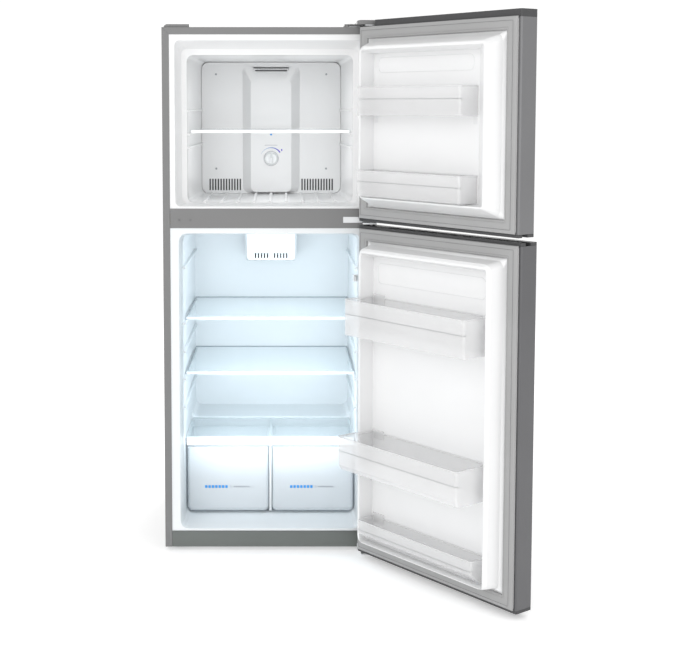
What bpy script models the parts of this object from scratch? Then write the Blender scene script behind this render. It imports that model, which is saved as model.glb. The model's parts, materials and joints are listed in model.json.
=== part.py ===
"""A top freezer refrigerator with both doors open, as separate sub-parts.

Lengths below are millimetres. X runs to the right, Y to the back and Z up, from a point on the
floor under the middle of the cabinet's front plane. The doors are drawn closed and then turned
open about their pins, and the whole part is set so that its own origin is under its middle.
"""

import math

import bmesh
import bpy
from mathutils import Vector

MM = 0.001
GAP = 0.4

# Cabinet
WIDTH = 600
DEPTH = 600
BASE = 11
TOP = 1489
SHEET = 1.5
FLANGE = 20
MULLION = (929, 984)
KICK_TOP = 57
LINER = 2.0
BAY_FRONT = 395
BAY_TOP = 286

# Doors, drawn closed: Y runs from the outer face to the inner one
DOOR_OUT = -67
DOOR_IN = -11
PIN_X = 282
PIN_Y = -41
FREEZER_DOOR = (953.5, 1503)
FRIDGE_DOOR = (16, 941)
FREEZER_OPEN = 126.5
FRIDGE_OPEN = 127.7
RECESS_X = 236
GASKET_HALF = 292
GASKET_WIDTH = 33
DIKE_TOP = 42

# Inside
SHELF_HALF = 246
SHELF_FRONT = 120
FRIDGE_SHELVES = {"upper": 658, "lower": 496}
FREEZER_SHELF = 1202
CRISPER_TOP = 300
DRAWER = {"front": 124, "back": 372, "low": 76, "high": 270, "inner": 5, "outer": 245}
COVER_FRONT = 447
TOWER_FRONT = 424
KNOB_Z = 1107.7
SIDES = (("left", -262), ("right", 262))
FOOT_Y = 48
ROLLER_Y = 556
ROLLER_R = 14

COLOURS = {
    "steel_grey": ((0.25, 0.25, 0.25), 0.42, 0.55),
    "dark_grey": ((0.06, 0.06, 0.06), 0.6, 0.0),
    "zinc": ((0.62, 0.63, 0.64), 0.35, 0.9),
    "liner_white": ((0.86, 0.87, 0.88), 0.35, 0.0),
    "gasket_grey": ((0.42, 0.42, 0.42), 0.7, 0.0),
    "clear_plastic": ((0.82, 0.86, 0.88), 0.12, 0.0),
    "glass": ((0.80, 0.90, 0.90), 0.05, 0.0),
    "foam": ((0.80, 0.72, 0.45), 0.9, 0.0),
    "black_metal": ((0.02, 0.02, 0.02), 0.5, 0.3),
    "copper": ((0.60, 0.30, 0.15), 0.35, 1.0),
    "aluminium": ((0.70, 0.71, 0.72), 0.4, 0.9),
    "lamp": ((0.85, 0.93, 1.0), 0.2, 0.0),
}

bodies = {}
materials = {}


def clear_scene():
    for obj in list(bpy.data.objects):
        bpy.data.objects.remove(obj)


def material(name):
    if name not in materials:
        colour, roughness, metallic = COLOURS[name]
        made = bpy.data.materials.new(name)
        made.use_nodes = True
        shader = made.node_tree.nodes["Principled BSDF"]
        shader.inputs["Base Color"].default_value = (*colour, 1)
        shader.inputs["Roughness"].default_value = roughness
        shader.inputs["Metallic"].default_value = metallic
        materials[name] = made
    return materials[name]


def add_body(name, anchor, parent=None, turn=0.0):
    """An empty on a moving body's joint. Its pieces are drawn in cabinet millimetres."""
    empty = bpy.data.objects.new("axis_" + name, None)
    bpy.context.scene.collection.objects.link(empty)
    start = bodies[parent][1] if parent else Vector((0, 0, 0))
    empty.location = (Vector(anchor) - start) * MM
    empty.rotation_euler.z = math.radians(turn)
    if parent:
        empty.parent = bodies[parent][0]
    bodies[name] = (empty, Vector(anchor))


def piece(name, faces_of, body, colour, helper=False, smooth=40):
    """Makes one object from a function that fills a bmesh in cabinet millimetres."""
    shape = bmesh.new()
    faces_of(shape)
    bmesh.ops.recalc_face_normals(shape, faces=shape.faces[:])
    empty, anchor = bodies[body]
    for vertex in shape.verts:
        vertex.co = (vertex.co - anchor) * MM
    mesh = bpy.data.meshes.new(name)
    shape.to_mesh(mesh)
    shape.free()
    obj = bpy.data.objects.new(name, mesh)
    bpy.context.scene.collection.objects.link(obj)
    obj.parent = empty
    obj.data.materials.append(material(colour))
    mesh.shade_smooth()
    mesh.set_sharp_from_angle(angle=math.radians(smooth))
    if helper:
        obj.hide_render = True
        obj.display_type = "WIRE"
    return obj


def boolean(obj, other, operation="DIFFERENCE"):
    cut = obj.modifiers.new(operation.title() + " " + other.name, "BOOLEAN")
    cut.object = other
    cut.operation = operation


def cut(obj, name, faces_of):
    """Takes a hidden helper solid away from an object."""
    body = next(body for body, (empty, _) in bodies.items() if empty == obj.parent)
    boolean(obj, piece(name, faces_of, body, "zinc", helper=True))


def join(obj, name, faces_of):
    """Adds a hidden helper solid to an object."""
    body = next(body for body, (empty, _) in bodies.items() if empty == obj.parent)
    colour = obj.data.materials[0].name
    boolean(obj, piece(name, faces_of, body, colour, helper=True), "UNION")


# Outlines and solids


def outline(a0, a1, b0, b1, radius=0.5, steps=3):
    """A rectangle with rounded corners, anticlockwise from its low corner."""
    corners = (
        (a0 + radius, b0 + radius, 180),
        (a1 - radius, b0 + radius, 270),
        (a1 - radius, b1 - radius, 0),
        (a0 + radius, b1 - radius, 90),
    )
    points = []
    for a, b, start in corners:
        for step in range(steps + 1):
            angle = math.radians(start + 90 * step / steps)
            points.append((a + radius * math.cos(angle), b + radius * math.sin(angle)))
    return points


def circle(a, b, radius, sides=16):
    turns = [2 * math.pi * side / sides for side in range(sides)]
    return [(a + radius * math.cos(t), b + radius * math.sin(t)) for t in turns]


def at(points, depth, plane="XZ"):
    """Places a flat outline in space, at a depth along the axis that its plane leaves out."""
    slot = {"XZ": 1, "XY": 2, "YZ": 0}[plane]
    return [(*point[:slot], depth, *point[slot:]) for point in points]


def loft(shape, rings, closed=False):
    """Skins a row of rings that have the same number of points, and caps its ends."""
    made = [[shape.verts.new(point) for point in ring] for ring in rings]
    pairs = list(zip(made, made[1:])) + ([(made[-1], made[0])] if closed else [])
    for low, high in pairs:
        for i in range(len(low)):
            j = (i + 1) % len(low)
            shape.faces.new((low[i], low[j], high[j], high[i]))
    if not closed:
        shape.faces.new(made[0])
        shape.faces.new(made[-1])


def block(shape, x, y, z):
    corners = [(x[0], y[0]), (x[1], y[0]), (x[1], y[1]), (x[0], y[1])]
    loft(shape, [at(corners, level, "XY") for level in z])


def blocks(rows):
    def fill(shape):
        for x, y, z in rows:
            block(shape, x, y, z)

    return fill


def prism(points, plane, low, high):
    return lambda shape: loft(shape, [at(points, low, plane), at(points, high, plane)])


def rod(centre, axis, radius, length, sides=16):
    """A round bar from centre along axis X, Y or Z."""
    plane = {"X": "YZ", "Y": "XZ", "Z": "XY"}[axis]
    a, b = {"X": (1, 2), "Y": (0, 2), "Z": (0, 1)}[axis]
    start = centre["XYZ".index(axis)]
    return prism(circle(centre[a], centre[b], radius, sides), plane, start, start + length)


def sleeve(centre, axis, outer, inner, length, sides=16):
    """A round tube from centre along axis X, Y or Z."""
    plane = {"X": "YZ", "Y": "XZ", "Z": "XY"}[axis]
    a, b = {"X": (1, 2), "Y": (0, 2), "Z": (0, 1)}[axis]
    low = centre["XYZ".index(axis)]
    sizes = ((outer, low), (outer, low + length), (inner, low + length), (inner, low))
    rings = [at(circle(centre[a], centre[b], radius, sides), depth, plane) for radius, depth in sizes]
    return lambda shape: loft(shape, rings, closed=True)


def mitred(corners, profile):
    """Rings of a profile at mitred corners of a frame that lies in XZ."""
    return [[(x + dx * a, y, z + dz * a) for a, y in profile] for x, z, dx, dz in corners]


def frame_corners(half, low, high):
    return [(-half, low, 1, 1), (-half, high, 1, -1), (half, high, -1, -1), (half, low, -1, 1)]


def tub(rings, wall, plane="XY"):
    """An open tub from (outline function, level) rows: each outline is called with its inset."""
    outer = [at(draw(0), level, plane) for draw, level in rings]
    inner = [at(draw(wall), level, plane) for draw, level in rings[1:]]
    floor = at(rings[0][0](wall), rings[0][1] + wall, plane)
    return lambda shape: loft(shape, outer + inner[::-1] + [floor])


def rectangle(x0, x1, y0, y1, radius, inset=0.0):
    """A function of the inset that gives a tub's outline."""
    return lambda wall: outline(
        x0 + inset + wall, x1 - inset - wall, y0 + inset + wall, y1 - inset - wall, max(radius - wall, 0.5)
    )


# Cabinet


def outer_case():
    """Top and sides in one sheet, with the flange that turns in round the front."""
    half = WIDTH / 2
    ends = [(-half, BASE, 1, 0), (-half, TOP, 1, -1), (half, TOP, -1, -1), (half, BASE, -1, 0)]
    section = [(0, 0), (FLANGE, 0), (FLANGE, SHEET), (SHEET, SHEET), (SHEET, DEPTH), (0, DEPTH)]
    piece("outer_case", lambda shape: loft(shape, mitred(ends, section)), "cabinet", "steel_grey")


def liner_rings(sections, grow):
    """Rings of a liner: (half width, low, high, corner radius, depth), grown outwards."""
    return [
        at(outline(-half - grow, half + grow, low - grow, high + grow, radius), depth + grow)
        for half, low, high, radius, depth in sections
    ]


FREEZER_SECTIONS = (
    (265, 990, 1452.5, 14, 2),
    (249.5, 996, 1431.5, 16, 50),
    (234.5, 996.5, 1414, 18, 53),
    (217, 997, 1407, 20, 452),
    (214, 998, 1404, 20, 522),
)
FRIDGE_SECTIONS = (
    (256, 64, 914, 22, 2),
    (249.5, 68, 908, 22, 40),
    (248.5, 71, 905, 22, 379),
    (248.3, CRISPER_TOP, 905, 22, 381),
    (247, CRISPER_TOP, 903, 22, 549),
)


def wall_x(sections, depth):
    """Half width of a liner's inside at a depth."""
    for near, far in zip(sections, sections[1:]):
        if near[4] <= depth <= far[4]:
            return near[0] + (far[0] - near[0]) * (depth - near[4]) / (far[4] - near[4])
    return sections[-1][0]


def support_ribs(name, sections, ribs):
    """Pairs of ribs (top, front, back) that carry the shelves, sunk a little into the side walls."""

    def fill(shape):
        for level, front, back in ribs:
            for side in (-1, 1):
                rings = []
                for depth in (front, back):
                    wall = wall_x(sections, depth)
                    edge = sorted((side * (wall - 7), side * (wall + 1)))
                    rings.append(at(outline(*edge, level - 6, level, 0.8, 1), depth))
                loft(shape, rings)

    return piece(name, fill, "cabinet", "liner_white", helper=True)


def liner(name, sections, low, high, ribs):
    """A thermoformed white tub with a flange, open to the front, and the ribs in its side walls."""
    edge = [at(outline(-291.5, 291.5, low, high, 6), depth) for depth in (2, 2 + LINER)]
    rings = liner_rings(sections, 0)[::-1] + edge + liner_rings(sections, LINER)
    made = piece(name, lambda shape: loft(shape, rings), "cabinet", "liner_white")
    boolean(made, support_ribs(name + "_ribs", sections, ribs), "UNION")


def mullion():
    """The rail between the compartments, with two holes for hinging the doors on the left."""
    half = WIDTH / 2 - FLANGE - GAP
    rail = piece("centre_rail", blocks([((-half, half), (0, SHEET), MULLION)]), "cabinet", "steel_grey")
    for x in (-254, -223):
        cut(rail, f"rail_hole_{-x}", rod((x, -5, 952), "Y", 2.5, 12, 10))


def kick_plate():
    half = WIDTH / 2 - FLANGE - GAP
    low, lip = BASE + 0.5, KICK_TOP - 2
    section = [(0, low), (2, low), (2, lip), (14, lip), (14, KICK_TOP), (0, KICK_TOP)]
    piece("kick_plate", prism(section, "YZ", -half, half), "cabinet", "dark_grey")


def base_pan():
    """The bottom sheet, with a hole for each foot and a slot for each roller."""
    half = WIDTH / 2 - SHEET - GAP
    sheet = blocks([((-half, half), (3, 590), (BASE + 1.5, BASE + 3.5))])
    pan = piece("base_pan", sheet, "cabinet", "zinc")
    for side, x in SIDES:
        cut(pan, "foot_hole_" + side, rod((x, FOOT_Y, 0), "Z", 6, 30, 12))
        slot = blocks([((x - 15, x + 15), (ROLLER_Y - 20, ROLLER_Y + 20), (0, 30))])
        cut(pan, "roller_slot_" + side, slot)


def machine_bay():
    """The sheet that walls off the compressor, and the slotted cover behind it."""
    half = WIDTH / 2 - SHEET - GAP
    low, high = BASE + 4, BAY_TOP
    lip, inner, edge = high - 1.5, BAY_FRONT + 1.5, 595
    bend = [(BAY_FRONT, low), (inner, low), (inner, lip), (edge, lip), (edge, high), (BAY_FRONT, high)]
    piece("machine_bay_wall", prism(bend, "YZ", -half, half), "cabinet", "zinc")
    sheet = blocks([((-half, half), (595.6, 597.2), (20, high))])
    cover = piece("rear_cover", sheet, "cabinet", "zinc")
    rows = range(120, 240, 30)
    slots = [((x, x + 60), (590, 605), (z, z + 6)) for x in range(-200, 200, 80) for z in rows]
    cut(cover, "rear_cover_slots", blocks(slots))
    cut(cover, "cord_hole", rod((240, 590, 70), "Y", 9.4, 20, 16))


def cord_gland():
    """The bushing that the supply lead leaves by, in the rear cover's hole."""
    sizes = ((9, 594), (9, 597.6), (13, 597.6), (13, 602), (4.5, 602), (4.5, 594))
    rings = [at(circle(240, 70, radius, 16), depth) for radius, depth in sizes]
    piece("cord_gland", lambda shape: loft(shape, rings, closed=True), "cabinet", "dark_grey")


def back_panel():
    half = WIDTH / 2 - SHEET - GAP
    sheet = blocks([((-half, half), (595.6, 597.2), (BAY_TOP + 0.5, TOP - SHEET - GAP))])
    piece("back_panel", sheet, "cabinet", "zinc")


def foam():
    """The insulation foamed in place between the case and the liners."""
    half = WIDTH / 2 - SHEET - GAP
    slab = blocks([((-half, half), (4.6, 595.2), (KICK_TOP + 1, TOP - SHEET - GAP))])
    core = piece("insulation", slab, "cabinet", "foam")
    clear = LINER + GAP
    for name, sections in (("freezer_pocket", FREEZER_SECTIONS), ("fridge_pocket", FRIDGE_SECTIONS)):
        rings = liner_rings(((*sections[0][:4], -10),), clear) + liner_rings(sections, clear)
        cut(core, name, lambda shape, rings=rings: loft(shape, rings))
    cut(core, "bay_pocket", blocks([((-310, 310), (BAY_FRONT - GAP, 620), (0, BAY_TOP + GAP))]))


# Cooling


def compressor():
    """A welded steel shell on a foot plate."""
    x, y = -60, 490
    sizes = ((66, 20), (80, 30), (84, 100), (80, 150), (62, 178), (30, 190))

    def ring(r):
        return outline(x - r - 14, x + r + 14, y - r + 12, y + r - 12, r - 14, 5)

    rings = [at(ring(r), z, "XY") for r, z in sizes]
    shell = piece("compressor", lambda shape: loft(shape, rings), "cabinet", "black_metal")
    join(shell, "compressor_feet", blocks([((-170, 50), (432, 548), (16, 22))]))


def tube(name, points, radius, colour, sides=2):
    """A bent pipe through points, as a curve with filled ends."""
    curve = bpy.data.curves.new(name, "CURVE")
    curve.dimensions = "3D"
    curve.bevel_depth = radius * MM
    curve.bevel_resolution = sides
    curve.use_fill_caps = True
    spline = curve.splines.new("POLY")
    spline.points.add(len(points) - 1)
    for target, point in zip(spline.points, points):
        target.co = (*(Vector(point) * MM), 1)
    obj = bpy.data.objects.new(name, curve)
    bpy.context.scene.collection.objects.link(obj)
    obj.parent = bodies["cabinet"][0]
    curve.materials.append(material(colour))


def condenser():
    """A serpentine of tube beside the compressor."""
    low, high, radius, rows = 80, 250, 11, 6
    points = []
    for row in range(rows):
        z, ahead = 40 + 2 * radius * row, row % 2 == 0
        points += [(low, 470, z), (high, 470, z)] if ahead else [(high, 470, z), (low, 470, z)]
        if row < rows - 1:
            centre, way = (high, 1) if ahead else (low, -1)
            turns = [math.radians(-90 + 45 * step) for step in range(1, 4)]
            middle = z + radius
            arc = [(way * math.cos(t), math.sin(t)) for t in turns]
            points += [(centre + radius * a, 470, middle + radius * b) for a, b in arc]
    tube("condenser_coil", points, 3.2, "copper")


def evaporator_fan():
    """The fan behind the air tower, and the motor that its shaft enters."""
    motor = piece("fan_motor", rod((0, 488, 1300), "Y", 26, 27, 20), "cabinet", "dark_grey")
    cut(motor, "fan_bore", rod((0, 480, 1300), "Y", 3, 24, 12))
    fan = piece("evaporator_fan", rod((0, 470, 1300), "Y", 14, 14, 16), "fan", "dark_grey")
    join(fan, "fan_shaft", rod((0, 480, 1300), "Y", 2.4, 20, 12))
    for blade in range(4):
        c, s = round(math.cos(math.pi / 2 * blade)), round(math.sin(math.pi / 2 * blade))
        rings = []
        for radius, twist in ((10, 5), (48, 3)):
            across = ((-12, -twist), (12, twist), (12, twist + 1.6), (-12, -twist + 1.6))
            rings.append([(radius * c - a * s, 476 + b, 1300 + radius * s + a * c) for a, b in across])
        join(fan, f"fan_blade_{blade}", lambda shape, rings=rings: loft(shape, rings))


# Freezer inside


def evaporator_cover():
    """The freezer's back panel: a sheet with a raised air tower, an outlet and two return grilles."""
    sheet = outline(-215.3, 215.3, 998.8, 1404.5, 18)
    rings = [
        at(outline(-63, 63, 1003, 1352, 16), TOWER_FRONT),
        at(outline(-89, 89, 1001, 1396, 18), COVER_FRONT),
        at(sheet, COVER_FRONT),
        at(sheet, COVER_FRONT + 2.5),
        at(outline(-86.5, 86.5, 1003.5, 1393.5, 16), COVER_FRONT + 2.5),
        at(outline(-60.5, 60.5, 1005.5, 1349.5, 14), TOWER_FRONT + 2.5),
    ]
    cover = piece("evaporator_cover", lambda shape: loft(shape, rings), "cabinet", "liner_white")
    rows = [((-half, half), (415, 460), (z, z + 4)) for half, z in ((55, 1387), (50, 1378))]
    for side in (-1, 1):
        for slot in range(12):
            x = side * (97 + 8.6 * slot)
            rows.append(((x - 2.3, x + 2.3), (440, 460), (1007, 1043)))
    cut(cover, "cover_slots", blocks(rows))


def freezer_knob():
    """The round control on the tower, with its grip bar."""
    face = TOWER_FRONT - GAP
    sizes = ((21, face), (21, face - 5), (18.5, face - 6), (17, face - 9))
    rings = [at(circle(0, KNOB_Z, radius, 24), depth) for radius, depth in sizes]
    knob = piece("freezer_knob", lambda shape: loft(shape, rings), "knob", "liner_white")
    grip = blocks([((-3.5, 3.5), (face - 17, face - 7), (KNOB_Z - 15, KNOB_Z + 15))])
    join(knob, "knob_grip", grip)


def shelf(name, body, halves, front, back, top, nose=0):
    """A glass plate, as wide as halves at its front and back, in a front trim that grips its edge."""
    low, plate = top - 8, top - 6
    near, far = halves
    plan = [(-near + 1, front + 5.4), (near - 1, front + 5.4), (far - 1, back), (-far + 1, back)]
    piece(name + "_glass", prism(plan, "XY", plate, plate + 4), body, "glass")
    profile = [
        (front, low - nose),
        (front + 14, low - nose),
        (front + 14, plate - GAP),
        (front + 5, plate - GAP),
        (front + 5, plate + 4 + GAP),
        (front + 14, plate + 4 + GAP),
        (front + 14, top),
        (front, top),
    ]
    piece(name + "_trim", prism(profile, "YZ", -near, near), body, "liner_white")


# Fridge inside


def air_duct():
    """The duct and lamp housing at the top of the fridge's back wall."""
    steps = ((74, 792, 897, 400), (80, 789, 900, 410), (80, 789, 900, 548.6))
    outer = [at(outline(-half, half, low, high, 8), y) for half, low, high, y in steps]
    inner = [
        at(outline(-half + 2.5, half - 2.5, low + 2.5, high - 2.5, 6), max(y, 403))
        for half, low, high, y in steps
    ]
    rings = outer + inner[::-1]
    housing = piece("air_duct_housing", lambda shape: loft(shape, rings), "cabinet", "liner_white")
    slots = [side * (11 + 9.4 * n) for side in (-1, 1) for n in range(5)]
    cut(housing, "duct_slots", blocks([((x - 2, x + 2), (390, 415), (798, 814)) for x in slots]))
    steps = ((0, 399.6), (0, 397), (3, 393.5))
    lens = [at(outline(-55 + e, 55 - e, 836 + e, 872 - e, 6), y) for e, y in steps]
    piece("lamp_lens", lambda shape: loft(shape, lens), "cabinet", "lamp")


def light_switch():
    """A sprung plunger in a small housing on the right wall."""
    body = blocks([((238.5, 248.2), (56, 76), (770, 790))])
    case = piece("switch_housing", body, "cabinet", "liner_white")
    cut(case, "switch_bore", blocks([((240.4, 246.6), (50, 72), (773, 787))]))
    piece("light_switch", blocks([((241, 246), (45, 60), (774, 786))]), "switch", "liner_white")


def drawer_divider():
    wall = blocks([((-3.5, 3.5), (136, 376), (74.5, CRISPER_TOP - 6 - GAP))])
    piece("drawer_divider", wall, "cabinet", "liner_white")


def crisper(side, sign):
    """A clear drawer with rounded lower corners."""
    near, far = sorted((sign * DRAWER["inner"], sign * DRAWER["outer"]))

    def draw(inset):
        return rectangle(near, far, DRAWER["front"], DRAWER["back"], 12, inset)

    low = DRAWER["low"]
    levels = [(draw(12), low), (draw(4), low + 3), (draw(0), low + 12), (draw(0), DRAWER["high"])]
    piece(f"crisper_{side}", tub(levels, 2.5), f"crisper_{side}", "clear_plastic")


# Doors


def door_skin(name, low, high):
    """The folded steel skin: front, sides and the hems that turn in behind them."""
    half, lip, thick, radius = WIDTH / 2, 9, 1.2, 4

    def path(inset):
        r = radius - inset
        corners = (
            (-half + radius, DOOR_IN - radius, 90, 180),
            (-half + radius, DOOR_OUT + radius, 180, 270),
            (half - radius, DOOR_OUT + radius, 270, 360),
            (half - radius, DOOR_IN - radius, 0, 90),
        )
        points = [(-half + lip, DOOR_IN - inset)]
        for x, y, start, end in corners:
            for step in range(4):
                angle = math.radians(start + (end - start) * step / 3)
                points.append((x + r * math.cos(angle), y + r * math.sin(angle)))
        return points + [(half - lip, DOOR_IN - inset)]

    section = path(0) + path(thick)[::-1]
    piece(name + "_skin", prism(section, "XY", low, high), name, "steel_grey")


def door_cap(name, end, face, edge):
    """The plastic cap at one end of a door: a plate from face to edge, and a plug inside the skin."""
    half, inset = WIDTH / 2, 1.8
    way = 1 if face > edge else -1
    plate = outline(-half, half, DOOR_OUT, DOOR_IN, 4)
    plug = outline(-half + inset, half - inset, DOOR_OUT + inset, DOOR_IN - inset, 3)
    levels = ((plate, face), (plate, edge), (plug, edge), (plug, edge - way * 14))
    rings = [at(points, z, "XY") for points, z in levels]
    cap = piece(f"{name}_{end}_cap", lambda shape: loft(shape, rings), name, "dark_grey")
    low = min(face, edge) - 20
    cut(cap, f"{name}_{end}_hole", rod((PIN_X, PIN_Y, low), "Z", 4.5, 60, 16))
    return cap


def grip_groove(cap, name, face, way):
    """A finger groove along a cap, open at the latch end."""
    depth = sorted((face + way * 5, face - way * 13))
    cut(cap, name, blocks([((-WIDTH / 2 - 5, 200), (DOOR_IN - 32, DOOR_IN - 14), depth)]))


def door_gasket(name, low, high):
    """A magnetic seal: a mitred frame, lower at its outer edge so that it clears the case as it turns."""
    width = GASKET_WIDTH
    section = [(0, -8.8), (width, -8.8), (width - 1, -3), (width - 5, -1.2), (9, -1.2), (1, -4.5)]
    rings = mitred(frame_corners(GASKET_HALF, low, high), section)
    piece(name + "_gasket", lambda shape: loft(shape, rings, closed=True), name, "gasket_grey")


FRIDGE_PANEL = (
    (-291, 291, 25, 933, 6, -9.2, -10.8),
    (-259, 259, 57, 901, 8, -9.2, -10.8),
    (-251, 251, 67, 893, 16, 1, -8),
    (-244, 244, 68.5, 886, 20, 36, 10),
    (-238, 238, 70, 880, 18, DIKE_TOP, 20),
    (-233, 231, 71.5, 874, 6, DIKE_TOP, 20),
    (-212, 230, 73, 862, 4, -4, -5.6),
)
FREEZER_PANEL = (
    (-291, 291, 963, 1485, 6, -9.2, -10.8),
    (-259, 259, 995, 1453, 8, -9.2, -10.8),
    (-251, 251, 1003, 1444, 16, 1, -8),
    (-244, 244, 1018, 1432, 20, 36, 10),
    (-238, 238, 1022, 1427, 18, DIKE_TOP, 20),
    (-229, 231, 1026, 1421, 6, DIKE_TOP, 20),
    (-170, 230, 1028, 1411, 4, -4, -5.6),
)


def inner_panel(name, rows):
    """A door's moulded panel: rows of an outline, its front depth and its back depth."""
    front, back = [], []
    for x0, x1, z0, z1, radius, near, far in rows:
        points = outline(x0, x1, z0, z1, radius, 4)
        front.append(at(points, near))
        back.append(at(points, far))
    piece(name + "_liner", lambda shape: loft(shape, front[::-1] + back), name, "liner_white")


def door_foam(name, low, high):
    """The foam slab inside a door."""
    plan = outline(-WIDTH / 2 + 2, WIDTH / 2 - 2, DOOR_OUT + 2, DOOR_IN - 1.8, 3)
    piece(name + "_foam", prism(plan, "XY", low, high), name, "foam")


def freezer_door():
    name, (low, high) = "freezer_door", FREEZER_DOOR
    door_skin(name, low + 8.3, 1484)
    bottom = door_cap(name, "bottom", low, low + 8)
    top = door_cap(name, "top", high, 1484.3)
    grip_groove(bottom, "freezer_grip", low, -1)
    step = blocks([((RECESS_X, WIDTH / 2 + 5), (DOOR_OUT - 5, DOOR_IN + 5), (1488, high + 5))])
    cut(top, "freezer_hinge_recess", step)
    door_foam(name, low + 22.5, 1469.8)
    inner_panel(name, FREEZER_PANEL)
    door_gasket(name, 962, 1486)


def fridge_door():
    name, (low, high) = "fridge_door", FRIDGE_DOOR
    door_skin(name, low + 8.3, high - 8.3)
    door_cap(name, "bottom", low, low + 8)
    top = door_cap(name, "top", high, high - 8)
    grip_groove(top, "fridge_grip", high, 1)
    door_foam(name, low + 22.5, high - 22.5)
    inner_panel(name, FRIDGE_PANEL)
    door_gasket(name, 24, 934)


def door_bin(name, x, levels, step=0):
    """A clear bin from rows of (front, level). Past the border it is wider by step at the hinge side."""
    left, right = x
    back = -3.6

    def draw(front):
        def points(wall):
            path = [(left + wall, back + wall)]
            r = 10 - wall
            for a, start in ((left + 10, 180), (right + step - 10, 90)):
                for turn in (0, 30, 60, 90):
                    angle = math.radians(start - turn)
                    path.append((a + r * math.cos(angle), front - 10 + r * math.sin(angle)))
            ledge = DIKE_TOP + 3 + wall
            path += [(right + step - wall, ledge), (right - wall, ledge)] if step else []
            return path + [(right - wall, back + wall)]

        return points

    rows = [(draw(front), z) for front, z in levels]
    piece(name, tub(rows, 2.2), name, "clear_plastic")


# Hinges and feet


def top_hinge():
    """The plate on the case that reaches over the freezer door's recess and carries its pin."""
    z = (TOP + GAP, TOP + 3.9)
    plate = piece("top_hinge", blocks([((262, 294), (-55, 85), z)]), "cabinet", "zinc")
    join(plate, "hinge_wing", blocks([((222, 270), (20, 80), z)]))
    join(plate, "top_pin", rod((PIN_X, PIN_Y, TOP - 14), "Z", 4, 16, 16))


def top_hinge_cover():
    """The moulded hood over the top hinge."""
    z0 = TOP + 4.3
    low = outline(208, 298, 2, 95, 6)
    rings = [at(low, z0, "XY"), at(low, TOP + 8, "XY"), at(outline(211, 295, 5, 92, 6), TOP + 9, "XY")]
    hood = piece("top_hinge_cover", lambda shape: loft(shape, rings), "cabinet", "steel_grey")
    steps = ((0, z0 - 0.2), (0, TOP + 14), (3, TOP + 16))
    high = [at(outline(240 + e, 296 - e, -58 + e, 70 - e, 8), z, "XY") for e, z in steps]
    join(hood, "hood_top", lambda shape: loft(shape, high))


def hinge_hole_cap():
    """The blank over the hinge holes on the left, for a door hung on the other side."""
    steps = ((0, 0), (3, 5), (8, 8))
    rings = [at(outline(-295 + e, -224, 5, 85, 3), TOP + GAP + z, "XY") for e, z in steps]
    piece("left_hinge_cap", lambda shape: loft(shape, rings), "cabinet", "steel_grey")


def front_hinge(name, plate, arm, pin):
    """A bracket on the cabinet's front: plate (x, z), arm (z) and pin (z)."""
    bracket = piece(name, blocks([(plate[0], (-2.2, -0.4), plate[1])]), "cabinet", "zinc")
    join(bracket, name + "_arm", blocks([((258, 295), (-55, -1), arm)]))
    join(bracket, name + "_pin", rod((PIN_X, PIN_Y, pin[0]), "Z", 4, pin[1] - pin[0], 16))


def front_foot(side, x):
    """A levelling foot: a pad on a threaded stem."""
    sizes = ((14, 0), (16, 2), (16, 5), (8, 7.5), (4.8, 7.6), (4.8, 34))
    rings = [at(circle(x, FOOT_Y, radius, 16), z, "XY") for radius, z in sizes]
    piece(f"foot_{side}", lambda shape: loft(shape, rings), f"foot_{side}", "dark_grey")


def rear_roller(side, x):
    """A transport roller, and the bracket with its axle."""
    centre = (x - 9, ROLLER_Y, ROLLER_R)
    piece(f"roller_{side}", sleeve(centre, "X", ROLLER_R, 3.4, 18, 24), f"roller_{side}", "dark_grey")
    across = (ROLLER_Y - 10, ROLLER_Y + 10)
    cheek = blocks([((x - 12, x - 10), across, (6, 32))])
    bracket = piece(f"roller_bracket_{side}", cheek, "cabinet", "zinc")
    join(bracket, f"roller_cheek_{side}", blocks([((x + 10, x + 12), across, (6, 32))]))
    join(bracket, f"roller_axle_{side}", rod((x - 13, ROLLER_Y, ROLLER_R), "X", 3, 26, 12))
    join(bracket, f"roller_bridge_{side}", blocks([((x - 12, x + 12), across, (30.5, 33))]))


# Assembly


def joints():
    """One empty for each moving body, on its joint."""
    add_body("cabinet", (0, 0, 0))
    add_body("freezer_door", (PIN_X, PIN_Y, 1200), "cabinet", FREEZER_OPEN)
    add_body("fridge_door", (PIN_X, PIN_Y, 500), "cabinet", FRIDGE_OPEN)
    for door, name, place in BINS:
        add_body(name, place, door)
    add_body("freezer_shelf", (0, 105, FREEZER_SHELF), "cabinet")
    for level, top in FRIDGE_SHELVES.items():
        add_body(level + "_shelf", (0, SHELF_FRONT, top), "cabinet")
    for side, sign in (("left", -1), ("right", 1)):
        add_body("crisper_" + side, (sign * 125, DRAWER["front"], DRAWER["low"]), "cabinet")
    for side, x in SIDES:
        add_body("foot_" + side, (x, FOOT_Y, 0), "cabinet")
        add_body("roller_" + side, (x, ROLLER_Y, ROLLER_R), "cabinet")
    add_body("knob", (0, TOWER_FRONT - GAP, KNOB_Z), "cabinet")
    add_body("switch", (243.5, 45, 780), "cabinet")
    add_body("fan", (0, 470, 1300), "cabinet")


BINS = (
    ("freezer_door", "freezer_upper_bin", (31, 0, 1246)),
    ("freezer_door", "freezer_lower_bin", (31, 0, 1030)),
    ("fridge_door", "fridge_upper_bin", (9, 0, 653)),
    ("fridge_door", "fridge_middle_bin", (19, 0, 285)),
    ("fridge_door", "fridge_lower_bin", (7, 0, 75)),
)


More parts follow.
